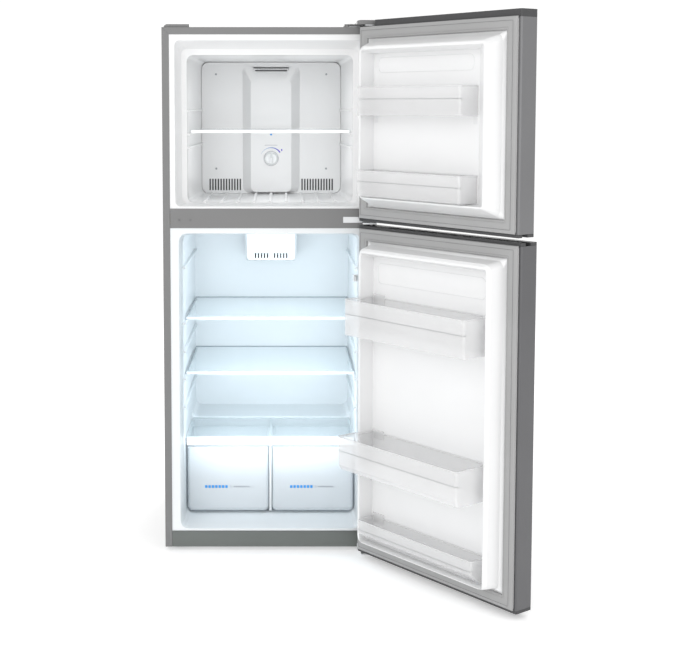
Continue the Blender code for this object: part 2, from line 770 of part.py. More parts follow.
def cabinet():
    outer_case()
    back_panel()
    base_pan()
    foam()
    levels = ((1193.6, 60, 418), (1260, 60, 418), (1156, 60, 418))
    liner("freezer_liner", FREEZER_SECTIONS, 970, 1481, levels)
    levels = [(top, 60, 540) for top in (811.6, 649.6, 568, 487.6, 406)]
    liner("fridge_liner", FRIDGE_SECTIONS, 58, 941, levels + [(293.6, 140, 376)])
    mullion()
    kick_plate()
    machine_bay()
    cord_gland()
    compressor()
    condenser()


def fittings():
    evaporator_cover()
    evaporator_fan()
    freezer_knob()
    shelf("freezer_shelf", "freezer_shelf", (228, 215), 105, 418, FREEZER_SHELF)
    air_duct()
    light_switch()
    for level, top in FRIDGE_SHELVES.items():
        shelf(level + "_shelf", level + "_shelf", (SHELF_HALF, SHELF_HALF), SHELF_FRONT, 545, top)
    shelf("crisper_cover", "cabinet", (SHELF_HALF, SHELF_HALF), SHELF_FRONT, 378, CRISPER_TOP, 16)
    drawer_divider()
    crisper("left", -1)
    crisper("right", 1)


def doors():
    freezer_door()
    fridge_door()
    door_bin("freezer_upper_bin", (-167, 229), ((60, 1246), (60, 1322)))
    door_bin("freezer_lower_bin", (-167, 229), ((60, 1030), (60, 1099)))
    door_bin("fridge_upper_bin", (-209, 227), ((91, 653), (91, 750)), 17)
    door_bin("fridge_middle_bin", (-209, 227), ((104, 285), (112, 300), (112, 376)), 17)
    door_bin("fridge_lower_bin", (-209, 224), ((24, 75), (57, 102), (57, 138)))
    top_hinge()
    top_hinge_cover()
    hinge_hole_cap()
    front_hinge("centre_hinge", ((206, 295), (944.5, 961)), (944.6, 948.6), (930, 964))
    front_hinge("bottom_hinge", ((249, 296), (4, 22)), (6, 10), (7, 34))


def feet():
    for side, x in SIDES:
        front_foot(side, x)
        rear_roller(side, x)


def centre_on_origin():
    """Sets the root so that the part stands on the floor with the origin under its middle."""
    bpy.context.view_layer.update()
    corners = [
        obj.matrix_world @ vertex.co
        for obj in bpy.data.objects
        if obj.type == "MESH" and not obj.hide_render
        for vertex in obj.data.vertices
    ]
    root = bodies["cabinet"][0]
    for axis in (0, 1):
        values = [corner[axis] for corner in corners]
        root.location[axis] = -(min(values) + max(values)) / 2


clear_scene()
joints()
cabinet()
fittings()
doors()
feet()
centre_on_origin()
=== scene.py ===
import json
import math

import bmesh
import bpy
from mathutils import Matrix, Vector


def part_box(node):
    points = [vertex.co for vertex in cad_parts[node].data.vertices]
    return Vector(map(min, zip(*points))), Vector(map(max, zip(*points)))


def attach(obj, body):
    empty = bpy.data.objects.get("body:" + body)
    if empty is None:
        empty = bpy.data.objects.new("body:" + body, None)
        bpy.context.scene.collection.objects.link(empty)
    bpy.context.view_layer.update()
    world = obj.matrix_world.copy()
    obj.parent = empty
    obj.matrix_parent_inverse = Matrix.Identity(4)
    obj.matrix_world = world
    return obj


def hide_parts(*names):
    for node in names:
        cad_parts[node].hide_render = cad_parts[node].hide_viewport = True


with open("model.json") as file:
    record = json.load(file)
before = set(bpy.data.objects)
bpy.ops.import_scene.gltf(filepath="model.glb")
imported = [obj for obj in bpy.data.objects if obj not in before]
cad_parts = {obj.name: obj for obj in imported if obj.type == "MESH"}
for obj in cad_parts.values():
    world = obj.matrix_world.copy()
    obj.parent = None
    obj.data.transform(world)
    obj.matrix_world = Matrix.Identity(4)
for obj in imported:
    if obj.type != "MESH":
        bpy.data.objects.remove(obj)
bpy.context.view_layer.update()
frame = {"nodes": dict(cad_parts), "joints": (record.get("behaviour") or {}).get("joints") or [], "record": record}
print("frame loaded:", len(frame["nodes"]), "nodes")

mm = 0.001
caseLow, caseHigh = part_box("outer_case")
origin = Vector(((caseLow[0] + caseHigh[0]) / 2, caseLow[1], 0))  # on the floor, below the case's front
joints = {joint["name"]: joint for joint in frame["joints"]}
bodyOf = {node: body for body, nodes in frame["record"]["behaviour"]["bodies"].items() for node in nodes}
slotOf = {part["node"]: part["material_slot"] for part in frame["record"]["subparts"]}


def hung(door):
    # from the closed door's place to the way it stands open
    joint = joints[door + "_hinge"]
    pin = Vector(joint["pos_m"])
    turn = Matrix.Rotation(math.radians(-joint["range_deg"][0]), 4, "Z")
    return Matrix.Translation(pin) @ turn @ Matrix.Translation(-pin)


def shown(name, data):
    obj = bpy.data.objects.new(name, data)
    bpy.context.scene.collection.objects.link(obj)
    return obj


# it looks down a little, and lens shift does the rest of the framing
camera = {
    "side": 0.038,
    "distance": 3.681,
    "height": 1.2742,
    "lens": 67.7,
    "film": 36,
    "pitch": 5.0,
    "shiftX": 0.0953,
    "shiftY": -0.1486,
    "reach": 60,
}


def makeCamera():
    data = bpy.data.cameras.new("camera")
    data.sensor_width = camera["film"]
    data.lens = camera["lens"]
    data.shift_x, data.shift_y = camera["shiftX"], camera["shiftY"]
    data.clip_end = camera["reach"]
    obj = shown("camera", data)
    obj.location = origin + Vector((camera["side"], -camera["distance"], camera["height"]))
    obj.rotation_euler = (math.radians(90 - camera["pitch"]), 0, 0)
    bpy.context.scene.camera = obj


makeCamera()
print("camera placed")


def surface(colour, rough, grain, bump, spread, **more):
    # grain is the scale of the fine noise, bump its depth, and spread how far the colour drifts
    return {"colour": colour, "rough": rough, "grain": grain, "bump": bump, "spread": spread, **more}


finishes = {
    # the CAD pieces' own slots
    "painted_steel": surface((0.19, 0.19, 0.19), 0.42, 900, 0.05, 0.05, metal=0.25, coat=0.25),
    "door_skin": surface((0.19, 0.19, 0.195), 0.36, 900, 0.05, 0.06, metal=0.45, coat=0.3),
    "dark_plastic": surface((0.055, 0.055, 0.057), 0.55, 1500, 0.12, 0.12),
    "kick_grey": surface((0.135, 0.148, 0.14), 0.5, 1300, 0.1, 0.1),
    "zinc": surface((0.62, 0.63, 0.64), 0.3, 260, 0.04, 0.12, metal=0.9),
    "liner_white": surface((0.84, 0.842, 0.845), 0.32, 420, 0.025, 0.02, coat=0.35),
    "gasket_grey": surface((0.36, 0.36, 0.36), 0.62, 700, 0.08, 0.08),
    "foam": surface((0.75, 0.62, 0.33), 0.95, 500, 0.5, 0.25),
    "black_metal": surface((0.02, 0.02, 0.021), 0.38, 650, 0.15, 0.15, metal=0.2, coat=0.4),
    "copper": surface((0.58, 0.29, 0.16), 0.3, 200, 0.03, 0.25, metal=1.0),
    "clear_plastic": surface((0.90, 0.90, 0.905), 0.2, 300, 0.03, 0.03, coat=0.25, alpha=0.36),
    "glass": surface((0.78, 0.87, 0.90), 0.05, 60, 0.004, 0.02, coat=0.4, alpha=0.3),
    "lamp": surface((0.90, 0.95, 1.0), 0.4, 800, 0.1, 0.02, glow=(0.85, 0.93, 1.0), glowStrength=0.7),
    # pieces that differ from their slot
    "drawer_clear": surface((0.80, 0.84, 0.87), 0.24, 300, 0.03, 0.03, coat=0.25, alpha=0.55),
    "fridge_white": surface((0.80, 0.825, 0.84), 0.32, 420, 0.025, 0.03, coat=0.3),
    # painted shade: a darker copy of door_skin, for the fridge door's skin that falls more in shade
    "fridge_door_skin": surface((0.115, 0.115, 0.12), 0.36, 900, 0.05, 0.08, metal=0.45, coat=0.3),
    "panel_white": surface((0.79, 0.795, 0.80), 0.3, 420, 0.02, 0.02, coat=0.35),
    "shelf_trim": surface((0.80, 0.84, 0.86), 0.28, 500, 0.02, 0.02, coat=0.4, alpha=0.7),
    "glass_edge": surface((0.12, 0.16, 0.20), 0.2, 500, 0.02, 0.05, coat=0.4),
    "trim_white": surface((0.82, 0.84, 0.85), 0.28, 500, 0.02, 0.02, coat=0.4),
    "edge_grey": surface((0.70, 0.705, 0.71), 0.35, 500, 0.03, 0.05),
    "soft_grey": surface((0.34, 0.36, 0.38), 0.5, 600, 0.02, 0.05),
    "fold_grey": surface((0.30, 0.31, 0.315), 0.35, 500, 0.03, 0.05),
    # painted shade, for the dark block behind the return slots
    "slot_shade_dark": surface((0.07, 0.07, 0.075), 0.6, 600, 0.05, 0.1),
    "mark_blue": surface((0.02, 0.27, 0.70), 0.4, 600, 0.02, 0.05),
    "mark_grey": surface((0.30, 0.32, 0.36), 0.4, 600, 0.02, 0.05),
    # painted shade for the dark lines in the seals' gap and groove; the mullion plugs and the case's corner joint
    # are really dark
    "seal_dark_and_gap_shade": surface((0.16, 0.16, 0.165), 0.6, 700, 0.05, 0.05),
}
wear = {"broad": 7.0, "roughLow": 0.88, "roughHigh": 1.12, "depth": 0.0004, "coatRough": 0.12}


def newNode(tree, kind, values=None, **settings):
    node = tree.nodes.new(kind)
    for key, value in settings.items():
        setattr(node, key, value)
    for key, value in (values or {}).items():
        if isinstance(value, bpy.types.NodeSocket):
            tree.links.new(value, node.inputs[key])
        else:
            node.inputs[key].default_value = value
    return node


def newMaterial(name):
    material = bpy.data.materials.new(name)
    material.use_nodes = True
    tree = material.node_tree
    place = newNode(tree, "ShaderNodeTexCoord").outputs["Object"]
    return material, tree, tree.nodes["Principled BSDF"], place


def makeFinish(name, look):
    # a base colour that drifts a little, a roughness that varies, and a fine moulded or sprayed grain
    material, tree, shader, place = newMaterial(name)
    broad = newNode(tree, "ShaderNodeTexNoise", {"Vector": place, "Scale": wear["broad"], "Detail": 3.0})
    fine = newNode(
        tree, "ShaderNodeTexNoise", {"Vector": place, "Scale": float(look["grain"]), "Detail": 2.0}
    )
    tint = newNode(tree, "ShaderNodeMix", {"Factor": broad.outputs["Fac"]}, data_type="RGBA")
    tint.inputs["A"].default_value = (*[c * (1 - look["spread"]) for c in look["colour"]], 1)
    tint.inputs["B"].default_value = (*[min(1, c * (1 + look["spread"])) for c in look["colour"]], 1)
    tree.links.new(tint.outputs["Result"], shader.inputs["Base Color"])
    low, high = look["rough"] * wear["roughLow"], min(1, look["rough"] * wear["roughHigh"])
    smear = newNode(
        tree, "ShaderNodeMapRange", {"Value": broad.outputs["Fac"], "To Min": low, "To Max": high}
    )
    tree.links.new(smear.outputs["Result"], shader.inputs["Roughness"])
    bump = newNode(
        tree,
        "ShaderNodeBump",
        {"Height": fine.outputs["Fac"], "Strength": look["bump"], "Distance": wear["depth"]},
    )
    tree.links.new(bump.outputs["Normal"], shader.inputs["Normal"])
    shader.inputs["Metallic"].default_value = look.get("metal", 0.0)
    shader.inputs["Coat Weight"].default_value = look.get("coat", 0.0)
    shader.inputs["Coat Roughness"].default_value = wear["coatRough"]
    if "alpha" in look:
        shader.inputs["Alpha"].default_value = look["alpha"]
    if "glow" in look:
        shader.inputs["Emission Color"].default_value = (*look["glow"], 1)
        shader.inputs["Emission Strength"].default_value = look["glowStrength"]
    return material


scalePrint = {
    "left": -0.034,
    "length": 0.06,
    "middle": 0.55,
    "rough": 0.35,
    "colours": ((0.42, 0.50, 0.62, 1), (0.18, 0.30, 0.62, 1), (0.14, 0.10, 0.55, 1)),
}


def makeScaleFinish():
    # the control's scale runs from a pale grey-blue at the left to a strong blue-violet at the right
    material, tree, shader, place = newMaterial("scale_print")
    shift = newNode(tree, "ShaderNodeMapping", {"Vector": place})
    shift.inputs["Location"].default_value = (-(scalePrint["left"] + origin.x) / scalePrint["length"], 0, 0)
    shift.inputs["Scale"].default_value = (1 / scalePrint["length"], 1, 1)
    split = newNode(tree, "ShaderNodeSeparateXYZ", {"Vector": shift.outputs["Vector"]})
    ramp = newNode(tree, "ShaderNodeValToRGB", {"Fac": split.outputs["X"]})
    stops = ramp.color_ramp.elements
    stops[0].color, middleColour, stops[1].color = scalePrint["colours"]
    stops.new(scalePrint["middle"]).color = middleColour
    tree.links.new(ramp.outputs["Color"], shader.inputs["Base Color"])
    shader.inputs["Roughness"].default_value = scalePrint["rough"]
    return material


made = {name: makeFinish(name, look) for name, look in finishes.items()}
made["scale_print"] = makeScaleFinish()
print("finishes made:", len(made))

# pieces in view, with the width in mm that their edges are eased by
eased = {
    "outer_case": 0.8,
    "centre_rail": 0.3,
    "kick_plate": 0.4,
    "left_hinge_cap": 1.2,
    "top_hinge_cover": 1.2,
    "top_hinge": 0.4,
    "centre_hinge": 0.4,
    "bottom_hinge": 0.4,
    "freezer_liner": 0.9,
    "fridge_liner": 0.9,
    "evaporator_cover": 0.9,
    "freezer_knob": 0.8,
    "freezer_shelf_trim": 0.7,
    "upper_shelf_trim": 0.7,
    "lower_shelf_trim": 0.7,
    "crisper_cover_trim": 0.9,
    "drawer_divider": 0.8,
    "air_duct_housing": 1.0,
    "lamp_lens": 0.6,
    "switch_housing": 0.6,
    "light_switch": 0.5,
    "freezer_door_liner": 0.7,
    "fridge_door_liner": 0.7,
    "freezer_door_gasket": 0.5,
    "fridge_door_gasket": 0.5,
    "freezer_door_top_cap": 1.0,
    "freezer_door_bottom_cap": 0.8,
    "fridge_door_top_cap": 0.8,
    "fridge_door_bottom_cap": 1.0,
    "crisper_left": 0.5,
    "crisper_right": 0.5,
    "freezer_upper_bin": 0.5,
    "freezer_lower_bin": 0.5,
    "fridge_upper_bin": 0.5,
    "fridge_middle_bin": 0.5,
    "fridge_lower_bin": 0.5,
    "compressor": 2.0,
    "rear_cover": 0.3,
    "base_pan": 0.4,
    "foot_left": 0.6,
    "foot_right": 0.6,
    "roller_left": 1.0,
    "roller_right": 1.0,
    "roller_bracket_left": 0.3,
    "roller_bracket_right": 0.3,
    "cord_gland": 0.6,
}
ease = {"merge": 0.01, "flat": 0.5, "corner": 28, "segments": 2, "weight": 100}
ownFinish = {
    "fridge_liner": "fridge_white",
    # the fridge door's skin takes the darker copy of door_skin, which is painted shade
    "fridge_door_skin": "fridge_door_skin",
    "evaporator_cover": "panel_white",
    "freezer_knob": "trim_white",
    "freezer_shelf_trim": "trim_white",
    "upper_shelf_trim": "shelf_trim",
    "lower_shelf_trim": "shelf_trim",
    "crisper_left": "drawer_clear",
    "crisper_right": "drawer_clear",
    "crisper_cover_trim": "trim_white",
    "air_duct_housing": "panel_white",
    "drawer_divider": "fridge_white",
}


def finishOf(node):
    return made[ownFinish.get(node, slotOf[node])]


def easeEdges(node, width):
    # shows the piece as a copy with its flat faces joined and its edges rounded
    mesh = frame["nodes"][node].data.copy()
    shape = bmesh.new()
    shape.from_mesh(mesh)
    bmesh.ops.remove_doubles(shape, verts=shape.verts[:], dist=ease["merge"] * mm)
    flat = math.radians(ease["flat"])
    bmesh.ops.dissolve_limit(shape, angle_limit=flat, verts=shape.verts[:], edges=shape.edges[:])
    shape.to_mesh(mesh)
    shape.free()
    obj = shown(node + "_eased", mesh)
    mesh.materials.clear()
    mesh.materials.append(finishOf(node))
    mesh.shade_smooth()
    bevel = obj.modifiers.new("ease", "BEVEL")
    bevel.width = width * mm
    bevel.segments = ease["segments"]
    bevel.limit_method = "ANGLE"
    bevel.angle_limit = math.radians(ease["corner"])
    bevel.use_clamp_overlap = True
    even = obj.modifiers.new("even", "WEIGHTED_NORMAL")
    even.weight = ease["weight"]
    even.keep_sharp = True
    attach(obj, bodyOf[node])
    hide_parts(node)


for node, obj in frame["nodes"].items():
    obj.data.materials.clear()
    obj.data.materials.append(finishOf(node))
for node, width in eased.items():
    easeEdges(node, width)
print("edges eased:", len(eased))


def newTree(name, inputs):
    tree = bpy.data.node_groups.new(name, "GeometryNodeTree")
    face = tree.interface
    face.new_socket("Geometry", in_out="OUTPUT", socket_type="NodeSocketGeometry")
    face.new_socket("Geometry", in_out="INPUT", socket_type="NodeSocketGeometry")
    for label, kind in inputs.items():
        face.new_socket(label, in_out="INPUT", socket_type="NodeSocket" + kind)
    face.new_socket("Finish", in_out="INPUT", socket_type="NodeSocketMaterial")
    return tree, newNode(tree, "NodeGroupInput").outputs


def closeTree(tree, given, shape):
    real = newNode(tree, "GeometryNodeRealizeInstances", {"Geometry": shape}).outputs["Geometry"]
    paint = newNode(tree, "GeometryNodeSetMaterial", {"Geometry": real, "Material": given["Finish"]})
    newNode(tree, "NodeGroupOutput", {"Geometry": paint.outputs["Geometry"]})
    return tree


def moved(tree, shape, **values):
    spot = newNode(tree, "GeometryNodeTransform", {"Geometry": shape, **values})
    return spot.outputs["Geometry"]


def swept(tree, path, profile):
    values = {"Curve": path, "Profile Curve": profile, "Fill Caps": True}
    return newNode(tree, "GeometryNodeCurveToMesh", values).outputs["Mesh"]


def barRowTree():
    # rounded bars from one point to another, repeated along a step
    row = {"Count": "Int", "Step": "Vector", "From": "Vector", "To": "Vector"}
    section = {"Width": "Float", "Height": "Float", "Round": "Float"}
    tree, given = newTree("bar row", {**row, **section})
    line = newNode(tree, "GeometryNodeCurvePrimitiveLine", {"Start": given["From"], "End": given["To"]})
    plate = newNode(
        tree, "GeometryNodeCurvePrimitiveQuadrilateral", {"Width": given["Width"], "Height": given["Height"]}
    )
    rounded = newNode(
        tree,
        "GeometryNodeFilletCurve",
        {"Curve": plate.outputs["Curve"], "Radius": given["Round"], "Count": 3},
        mode="POLY",
    )
    bar = swept(tree, line.outputs["Curve"], rounded.outputs["Curve"])
    spots = newNode(tree, "GeometryNodeMeshLine", {"Count": given["Count"], "Offset": given["Step"]})
    copies = newNode(
        tree, "GeometryNodeInstanceOnPoints", {"Points": spots.outputs["Mesh"], "Instance": bar}
    )
    return closeTree(tree, given, copies.outputs["Instances"])


def beadTree():
    # a round or flattened bead along the host's edges
    tree, given = newTree("bead", {"Width": "Float", "Height": "Float", "Sides": "Int"})
    path = newNode(tree, "GeometryNodeMeshToCurve", {"Mesh": given["Geometry"]})
    ring = newNode(tree, "GeometryNodeCurvePrimitiveCircle", {"Resolution": given["Sides"], "Radius": 0.5})
    stretch = newNode(tree, "ShaderNodeCombineXYZ", {"X": given["Width"], "Y": given["Height"], "Z": 1.0})
    section = moved(tree, ring.outputs["Curve"], Scale=stretch.outputs["Vector"])
    return closeTree(tree, given, swept(tree, path.outputs["Curve"], section))


# sizes as shares of the screw's radius
screwHead = {
    "sides": 24,
    "flange": {"radius": 1.0, "depth": 0.28, "rise": 0.14},
    "cap": {"radius": 0.72, "depth": 0.16, "rise": 0.34},
    "cross": {"length": 1.0, "width": 0.2, "depth": 0.4, "rise": 0.42},
}


def screwDisc(tree, disc):
    values = {"Vertices": screwHead["sides"], "Radius": disc["radius"], "Depth": disc["depth"]}
    shape = newNode(tree, "GeometryNodeMeshCylinder", values)
    return moved(tree, shape.outputs["Mesh"], Translation=(0, 0, disc["rise"]))


def screwTree():
    # a low head with a cross recess on each of the host's points, its axis along Turn
    tree, given = newTree("screws", {"Radius": "Float", "Turn": "Vector"})
    flange, cap = screwDisc(tree, screwHead["flange"]), screwDisc(tree, screwHead["cap"])
    cross = screwHead["cross"]
    cutter = newNode(tree, "GeometryNodeJoinGeometry")
    for size in ((cross["length"], cross["width"]), (cross["width"], cross["length"])):
        cut = newNode(tree, "GeometryNodeMeshCube", {"Size": (*size, cross["depth"])})
        lifted = moved(tree, cut.outputs["Mesh"], Translation=(0, 0, cross["rise"]))
        tree.links.new(lifted, cutter.inputs["Geometry"])
    top = newNode(tree, "GeometryNodeMeshBoolean", operation="DIFFERENCE")
    tree.links.new(cap, top.inputs["Mesh 1"])
    tree.links.new(cutter.outputs["Geometry"], top.inputs["Mesh 2"])
    head = newNode(tree, "GeometryNodeJoinGeometry")
    tree.links.new(flange, head.inputs["Geometry"])
    tree.links.new(top.outputs["Mesh"], head.inputs["Geometry"])
    turned = moved(tree, head.outputs["Geometry"], Rotation=given["Turn"])
    values = {"Points": given["Geometry"], "Instance": turned, "Scale": given["Radius"]}
    copies = newNode(tree, "GeometryNodeInstanceOnPoints", values)
    return closeTree(tree, given, copies.outputs["Instances"])


barRow, bead, screws = barRowTree(), beadTree(), screwTree()


sharpAngle = 35  # degrees; a sharper edge stays crisp


def settle(obj, body, door=None):
    # puts the piece's place in its mesh and lets it ride
    matrix = Matrix.Translation(origin)
    if door:
        matrix = hung(door) @ matrix
    obj.data.transform(matrix)
    obj.data.shade_smooth()
    obj.data.set_sharp_from_angle(angle=math.radians(sharpAngle))
    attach(obj, body)


def grow(name, host, tree, values, finish, body, door=None):
    obj = shown(name, host)
    modifier = obj.modifiers.new("grow", "NODES")
    modifier.node_group = tree
    values = {**values, "Finish": made[finish]}
    for item in tree.interface.items_tree:
        if item.item_type == "SOCKET" and item.in_out == "INPUT" and item.name in values:
            modifier[item.identifier] = values[item.name]
    bpy.context.view_layer.update()
    shape = bpy.data.meshes.new_from_object(obj.evaluated_get(bpy.context.evaluated_depsgraph_get()))
    obj.modifiers.clear()
    obj.data = shape
    settle(obj, body, door)


def hostMesh(name, points, closed=False, path=True):
    mesh = bpy.data.meshes.new(name)
    edges = [(i, i + 1) for i in range(len(points) - 1)] if path else []
    if closed:
        edges.append((len(points) - 1, 0))
    mesh.from_pydata([Vector(point) * mm for point in points], edges, [])
    return mesh


def bars(name, values, finish, body):
    sizes = {"Count": values["count"]}
    for key in ("step", "from", "to"):
        sizes[key.capitalize()] = Vector(values[key]) * mm
    for key in ("width", "height", "round"):
        sizes[key.capitalize()] = values[key] * mm
    grow(name, hostMesh(name, []), barRow, sizes, finish, body)


def beadAlong(name, points, width, height, finish, body, door=None, closed=False, sides=10):
    sizes = {"Width": width * mm, "Height": height * mm, "Sides": sides}
    grow(name, hostMesh(name, points, closed), bead, sizes, finish, body, door)


def setScrews(name, points, radius, turn, finish, body):
    sizes = {"Radius": radius * mm, "Turn": Vector((math.radians(turn), 0, 0))}
    grow(name, hostMesh(name, points, path=False), screws, sizes, finish, body)


def arcPoints(middle, radius, start, turn, steps):
    angles = [math.radians(start + turn * step / steps) for step in range(steps + 1)]
    return [(middle[0] + radius * math.cos(a), middle[1] + radius * math.sin(a)) for a in angles]


def roundRing(x0, x1, z0, z1, radius, y, steps=6):
    points = []
    for x, z, start in (
        (x0 + radius, z0 + radius, 180),
        (x1 - radius, z0 + radius, 270),
        (x1 - radius, z1 - radius, 0),
        (x0 + radius, z1 - radius, 90),
    ):
        points += [(px, y, pz) for px, pz in arcPoints((x, z), radius, start, 90, steps)]
    return points


def finished(name, shape, finish, body, door=None):
    mesh = bpy.data.meshes.new(name)
    shape.to_mesh(mesh)
    shape.free()
    mesh.materials.append(made[finish])
    obj = shown(name, mesh)
    settle(obj, body, door)


def solid(name, corners, finish, body, door=None, round=0.1, segments=1):
    # a rounded block from its low and high corner
    low, high = Vector(corners[0]) * mm, Vector(corners[1]) * mm
    shape = bmesh.new()
    bmesh.ops.create_cube(shape, size=1)
    for vertex in shape.verts:
        for axis in range(3):
            vertex.co[axis] = (low[axis] + high[axis]) / 2 + vertex.co[axis] * (high[axis] - low[axis])
    bmesh.ops.bevel(
        shape, geom=shape.edges[:], offset=round * mm, segments=segments, profile=0.5, affect="EDGES"
    )
    finished(name, shape, finish, body, door)


floorRibs = {
    "count": 9,
    "step": (46.5, 0, 0),
    "from": (-186, 62, 998.2),
    "to": (-186, 444, 999.4),
    "width": 9.0,
    "height": 5.0,
    "round": 2.2,
}
bars("freezer_floor_ribs", floorRibs, "liner_white", "cabinet")

outletFins = {
    "count": 21,
    "step": (5.4, 0, 0),
    "from": (-54, 441.5, 1383.2),
    "to": (-54, 441.5, 1386.6),
    "width": 1.0,
    "height": 3.0,
    "round": 0.3,
}
bars("outlet_fins", outletFins, "soft_grey", "cabinet")

returnGrille = {"near": 91, "far": 198, "depth": (451.5, 453.5), "level": (1003, 1047), "round": 0.5}


def returnSlotShade(side, sign):
    # painted shade: a dark block behind the cover's return slots, standing in for the shade of the hollow behind
    # them
    near, far = sorted((sign * returnGrille["near"], sign * returnGrille["far"]))
    corners = zip((near, far), returnGrille["depth"], returnGrille["level"])
    name = f"return_slot_shade_{side}"
    solid(name, list(corners), "slot_shade_dark", "cabinet", round=returnGrille["round"], segments=1)


returnSlotShade("left", -1)
returnSlotShade("right", 1)

# ring is left, right, low, high, corner and depth
coverJoint = {"ring": (-215, 215, 998.6, 1404.4, 21, 448.6), "width": 5.0, "height": 4.0}
jointRing = roundRing(*coverJoint["ring"])
beadAlong(
    "cover_joint", jointRing, coverJoint["width"], coverJoint["height"], "liner_white", "cabinet", closed=True
)

coverScrews = {"x": (-172, 172), "face": 446.9, "levels": (1369, 1075), "radius": 3.2}
coverSpots = [(x, coverScrews["face"], z) for z in coverScrews["levels"] for x in coverScrews["x"]]
setScrews("cover_screws", coverSpots, coverScrews["radius"], 90, "soft_grey", "cabinet")

# the printed scale grows from thin to thick as it goes round the knob
control = {
    "level": 1107.7,
    "face": 424,
    "radius": 33.5,
    "from": 158,
    "turn": -124,
    "thin": 0.7,
    "thick": 4.6,
    "swell": 1.6,
    "proud": (0.02, 0.28),
    "marksProud": (0.3, 0.02),
    "steps": 40,
}


def printScale():
    steps = control["steps"]
    shape = bmesh.new()
    rows = []
    for step in range(steps + 1):
        share = step / steps
        angle = math.radians(control["from"] + control["turn"] * share)
        width = control["thin"] + (control["thick"] - control["thin"]) * share ** control["swell"]
        row = []
        for radius in (control["radius"] - width / 2, control["radius"] + width / 2):
            x, z = radius * math.cos(angle), control["level"] + radius * math.sin(angle)
            for proud in control["proud"]:
                row.append(shape.verts.new(Vector((x, control["face"] - proud, z)) * mm))
        rows.append(row)
    for a, b in zip(rows, rows[1:]):
        for i, j in ((0, 1), (1, 3), (3, 2), (2, 0)):
            shape.faces.new((a[i], a[j], b[j], b[i]))
    for row in (rows[0], rows[-1]):
        shape.faces.new((row[0], row[1], row[3], row[2]))
    bmesh.ops.recalc_face_normals(shape, faces=shape.faces[:])
    finished("control_scale", shape, "scale_print", "cabinet")


printScale()

knobRing = {"radius": 22.6, "points": 48, "width": 0.9, "proud": 0.3}
ringPoints = [
    (x, control["face"] - knobRing["proud"], z)
    for x, z in arcPoints((0, control["level"]), knobRing["radius"], 0, 360, knobRing["points"])[:-1]
]
beadAlong(
    "knob_surround", ringPoints, knobRing["width"], knobRing["width"], "mark_grey", "cabinet", closed=True
)

controlMarks = {
    "control_dot": {"x": (-3, 3), "level": (1179.5, 1184.5), "finish": "mark_blue"},
    "control_line": {"x": (-20, 20), "level": (1148.4, 1149.6), "finish": "mark_grey"},
    "control_tick": {"x": (31, 35), "level": (1131, 1137), "finish": "scale_print"},
}
for name, mark in controlMarks.items():
    depth = [control["face"] - proud for proud in control["marksProud"]]
    solid(name, list(zip(mark["x"], depth, mark["level"])), mark["finish"], "cabinet")
knobPointer = ((-0.9, 406.4, 1110), (0.9, 406.7, 1121))
solid("knob_pointer", knobPointer, "mark_grey", "knob")
print("freezer fitted")

lampSlats = {
    "count": 19,
    "step": (5.7, 0, 0),
    "from": (-51.3, 393.1, 839),
    "to": (-51.3, 393.1, 869),
    "width": 1.3,
    "height": 1.2,
    "round": 0.4,
}
bars("lamp_slats", lampSlats, "trim_white", "cabinet")

shelfEdge = {"half": 244.4, "front": 136, "back": 542, "drop": 4, "width": 3.4, "height": 2.2}
shelfTops = {"upper_shelf": 658, "lower_shelf": 496}
for shelf, top in shelfTops.items():
    half, level = shelfEdge["half"], top - shelfEdge["drop"]
    ends = ((-half, "front"), (-half, "back"), (half, "back"), (half, "front"))
    edge = [(x, shelfEdge[end], level) for x, end in ends]
    beadAlong(
        shelf + "_edging", edge, shelfEdge["width"], shelfEdge["height"], "glass_edge", shelf
    )
freezerEdge = {
    "path": [(-226.3, 121, 1198), (-213.5, 416.5, 1198), (213.5, 416.5, 1198), (226.3, 121, 1198)],
    "width": 4.6,
    "height": 2.2,
}
beadAlong(
    "freezer_shelf_edging",
    freezerEdge["path"],
    freezerEdge["width"],
    freezerEdge["height"],
    "trim_white",
    "freezer_shelf",
)


def dashes(name, start, face, level, dash, pitch, count, tall, finish, body):
    row = {
        "count": count,
        "step": (pitch, 0, 0),
        "from": (start, face, level),
        "to": (start + dash, face, level),
        "width": 0.3,
        "height": tall,
        "round": 0.1,
    }
    bars(name, row, finish, body)


# plain rows of dashes on the drawers' fronts: drawer, finish, start, dash, count, height
drawerMarks = {"face": 123.85, "level": 151, "pitch": 1.42}
markRows = {
    "left_name": ("crisper_left", "mark_blue", -193, 7.0, 7, 8.0),
    "left_note": ("crisper_left", "mark_grey", -108, 4.2, 8, 4.0),
    "right_name": ("crisper_right", "mark_blue", 58, 7.0, 7, 8.0),
    "right_note": ("crisper_right", "mark_grey", 141, 4.0, 8, 4.0),
}
for name, (drawer, finish, start, dash, count, tall) in markRows.items():
    face, level, pitch = drawerMarks["face"], drawerMarks["level"], dash * drawerMarks["pitch"]
    dashes(name, start, face, level, dash, pitch, count, tall, finish, drawer + "_body")
barMark = {"left": -117, "right": 134, "half": 0.5, "depth": (123.7, 124.0), "level": (147, 155)}
for side in ("left", "right"):
    ends = (barMark[side] - barMark["half"], barMark[side] + barMark["half"])
    corners = list(zip(ends, barMark["depth"], barMark["level"]))
    solid(side + "_bar_mark", corners, "mark_grey", f"crisper_{side}_body")
coverMarks = {"face": 119.85, "level": 293, "dash": 2.6, "pitch": 4.2, "tall": 3.0}
coverRows = {"left": (-94, 6), "right": (76, 10)}
for side, (start, count) in coverRows.items():
    face, level, dash, pitch, tall = coverMarks.values()
    dashes("cover_marks_" + side, start, face, level, dash, pitch, count, tall, "mark_grey", "cabinet")

